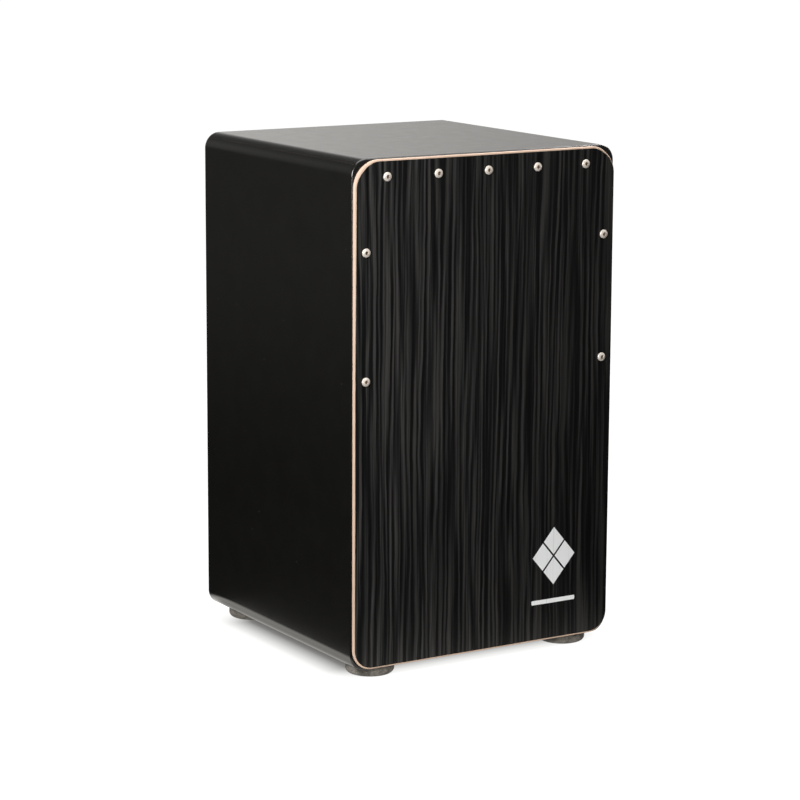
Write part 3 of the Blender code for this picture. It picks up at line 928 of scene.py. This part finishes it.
def make_snares(materials, hinge):
    """Plates, solder strips, coiled wires and small screws of both sets."""
    strand_top, solder_low, solder_high = 105 * MM, 4.5 * MM, 9 * MM
    plate_thick, plate_low, plate_high = 1.2 * MM, -8 * MM, 10 * MM
    plate_middle = (plate_high + plate_low) / 2
    bar_low, bar_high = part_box("snare_bar")
    plate_back = (bar_high.z - bar_low.z) / 2 - BAR_FLAT
    wires_y = -plate_back - plate_thick - 0.72 * MM
    facing = Matrix.Rotation(pi / 2, 4, "X")
    mesh = screw_mesh(
        "plate_screw", materials["steel"], head_radius=3.0 * MM,
        head_height=1.7 * MM, shank_radius=1.45 * MM, length=8.8 * MM,
    )
    for side, sign in (("left", -1), ("right", 1)):
        low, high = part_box(f"snare_plate_{side}")
        centre_x = (low.x + high.x) / 2
        half_width = (high.x - low.x) / 2
        screw_x = half_width - 9 * MM
        outlines = [rounded_rectangle(half_width, (plate_high - plate_low) / 2, 2.5 * MM, 6)]
        outlines += [circle((x, -plate_middle), 1.8 * MM, 24) for x in (-screw_x, screw_x)]
        place = Matrix.Translation((centre_x, -plate_back - plate_thick / 2, plate_middle))
        matrix = hinge @ place @ facing
        brass = [materials["brass"]]
        plate = flat_piece(f"plate_{side}", outlines, plate_thick, 0.25 * MM, matrix, brass)
        keep(plate, "snare_bar", "brass", f"snare_plate_{side}")

        bm = bmesh.new()
        spiral_wires(bm, centre_x, wires_y, solder_low + 1 * MM, strand_top, hinge)
        strip_half = STRANDS * STRAND_PITCH / 2 + 0.6 * MM
        strip = rounded_rectangle(strip_half, 0.70 * MM, 0.5 * MM, 5)
        strip_ease = 0.5 * MM
        loft(bm, [
            [hinge @ Vector((centre_x + x, wires_y + y * thickness, z)) for x, y in strip]
            for z, thickness in (
                (solder_low, 0.7), (solder_low + strip_ease, 1),
                (solder_high - strip_ease, 1), (solder_high, 0.7),
            )
        ])
        wires = mesh_object(f"coiled_wires_{side}", bm, [materials["wire"]], 60)
        keep(wires, "snare_bar", "snare_steel", f"snare_wires_{side}")

        for order, x in (("outer", sign * screw_x), ("inner", -sign * screw_x)):
            place = Matrix.Translation((centre_x + x, -plate_back - plate_thick, 0))
            node = f"plate_screw_{side}_{order}"
            matrix = hinge @ place @ facing
            place_screw(f"small_screw_{side}_{order}", mesh, matrix, "snare_bar", node)


# ------------------------------------------------------------------ the studio

def make_camera():
    """Seen from the front left and a little above, with a long lens."""
    level_x, level_y = sin(CAMERA_AZIMUTH), -cos(CAMERA_AZIMUTH)
    back = Vector((
        level_x * cos(CAMERA_ELEVATION), level_y * cos(CAMERA_ELEVATION), sin(CAMERA_ELEVATION),
    ))
    right = (-back).cross(Vector((0, 0, 1))).normalized()
    up = back.cross(right)
    level = Matrix((right, up, back)).transposed()
    turn = (level @ Matrix.Rotation(-CAMERA_ROLL, 3, "Z")).to_4x4()
    data = bpy.data.cameras.new("camera")
    data.lens = CAMERA_LENS
    data.sensor_width = 36
    data.clip_end = 200
    camera = new_object("camera", data)
    camera.matrix_world = Matrix.Translation(CAMERA_PLACE) @ turn
    bpy.context.scene.camera = camera


def outside_footprint(tree, inset_x, inset_y):
    """Distance on the floor from the outline of the drum, drawn in by the insets."""
    x, y, _ = object_axes(tree)
    beyond = []
    for place, half in ((x, BODY_HIGH.x - inset_x), (y, BODY_HIGH.y - inset_y)):
        past = maths(tree, "SUBTRACT", maths(tree, "ABSOLUTE", place), half)
        beyond.append(maths(tree, "MAXIMUM", past, 0.0))
    return flat_length(tree, *beyond)


def glowing_sheet(name, half_size, base, light, insets, reach, glow):
    """Level sheet that shines by its distance from the drum; the glow runs over the reach."""
    bm = bmesh.new()
    bmesh.ops.create_grid(bm, x_segments=2, y_segments=2, size=half_size)
    material, tree, shader = new_material(name, Roughness=0.9, Specular_IOR_Level=0.0)
    shader.inputs["Base Color"].default_value = (*base, 1)
    shader.inputs["Emission Color"].default_value = (*light, 1)
    away = maths(tree, "DIVIDE", outside_footprint(tree, *insets), reach)
    stops = [(position, grey(level)) for position, level in glow]
    tree.links.new(ramp(tree, away, stops), shader.inputs["Emission Strength"])
    sheet = mesh_object(name, bm, [material])
    if sheet.data.polygons[0].normal.z < 0:
        sheet.data.flip_normals()
    return sheet


def make_floor():
    """Pale floor out to the horizon that glows though it is no lamp; its glow fades to nothing near the drum,
    which paints the contact shadow round the base.
    """
    # painted shadow: the glow rises from nothing at the drum's edge to full brightness a few centimetres out
    floor = glowing_sheet(
        "floor", half_size=60, base=grey(0.15), light=grey(1), insets=(0.032, 0.056), reach=0.1,
        glow=((0.00, 0.0), (0.10, 0.06), (0.27, 0.52), (0.36, 0.72), (0.62, 1.0)),
    )
    floor.visible_glossy = False
    floor.visible_diffuse = False


def make_painted_reflection_strip():
    """Glowing strip round the drum that is no lamp and is hidden from the camera: it paints the reflection band on
    the glossy lower edges and shines on the feet.
    """
    patch = glowing_sheet(
        "painted_reflection_strip", half_size=6, base=grey(0), light=(1, 0.975, 0.92), insets=(0, 0), reach=2.5,
        glow=((0.000, 0.80), (0.010, 1.80), (0.016, 0.03), (0.300, 0.025), (1.000, 0.10)),
    )
    patch.location.z = 0.3 * MM
    patch.visible_camera = False
    patch.visible_shadow = False
    patch.visible_transmission = False


def make_light(name, place, target, size, power):
    data = bpy.data.lights.new(name, "AREA")
    data.shape = "RECTANGLE"
    data.size, data.size_y = size
    data.energy = power
    light = new_object(name, data)
    light.location = place
    aim = Vector(target) - Vector(place)
    light.rotation_euler = aim.to_track_quat("-Z", "Y").to_euler()


def make_sky():
    """Low white backdrop behind the drum, a dim room round it, dark below."""
    world = bpy.data.worlds.new("studio")
    bpy.context.scene.world = world
    world.use_nodes = True
    tree = world.node_tree
    source = add_node(tree, "ShaderNodeTexCoord").outputs["Generated"]
    x, y, z = add_node(tree, "ShaderNodeSeparateXYZ", {"Vector": source}).outputs
    inputs = {0: source, 1: (0.52, 0.85, 0)}
    behind = add_node(tree, "ShaderNodeVectorMath", inputs, operation="DOT_PRODUCT")
    backdrop = remap(tree, behind.outputs["Value"], 0.45, 0.80, 0.0, 1.0)
    low = ramp(tree, z, [
        (0.00, grey(0.0)),
        (0.04, grey(1.0)),
        (0.22, grey(1.0)),
        (0.42, grey(0.0)),
    ])
    backdrop = maths(tree, "MULTIPLY", backdrop, low)
    in_front = remap(tree, y, 0.10, -0.50, 0.0, 1.0)
    at_right = remap(tree, x, 0.62, 0.90, 0.0, 1.0)
    open_side = maths(tree, "MAXIMUM", in_front, at_right)
    room = mix_colours(tree, open_side, (0.10, 0.10, 0.097, 1), (0.36, 0.36, 0.35, 1))
    fall = remap(tree, x, 0.46, 0.58, 1.00, 0.62)
    bright = tinted(tree, (1.0, 0.98, 0.945, 1), fall)
    lit = mix_colours(tree, backdrop, room, bright)
    seen = add_node(tree, "ShaderNodeLightPath").outputs["Is Camera Ray"]
    colour = mix_colours(tree, seen, lit, (1.0, 1.0, 1.0, 1))
    background = tree.nodes["Background"]
    tree.links.new(colour, background.inputs["Color"])
    background.inputs["Strength"].default_value = 1.0


def make_studio():
    make_camera()
    make_floor()
    make_sky()
    for softbox in SOFTBOXES:
        make_light(*softbox)
    make_painted_reflection_strip()
    bpy.context.scene.view_settings.view_transform = "Standard"


def main():
    make_studio()
    materials = make_materials()
    joint_place = frame["joints"][0]["pos_m"]
    hinge = Matrix.Translation(joint_place) @ Matrix.Rotation(BAR_TILT, 4, "X")
    make_walls(materials)
    make_front_board(materials)
    make_emblem(materials)
    make_rear_panel(materials)
    finish_battens(materials)
    make_board_screws(materials)
    make_feet(materials)
    make_saddles(materials)
    make_snare_bar(materials, hinge)
    make_snares(materials, hinge)


main()
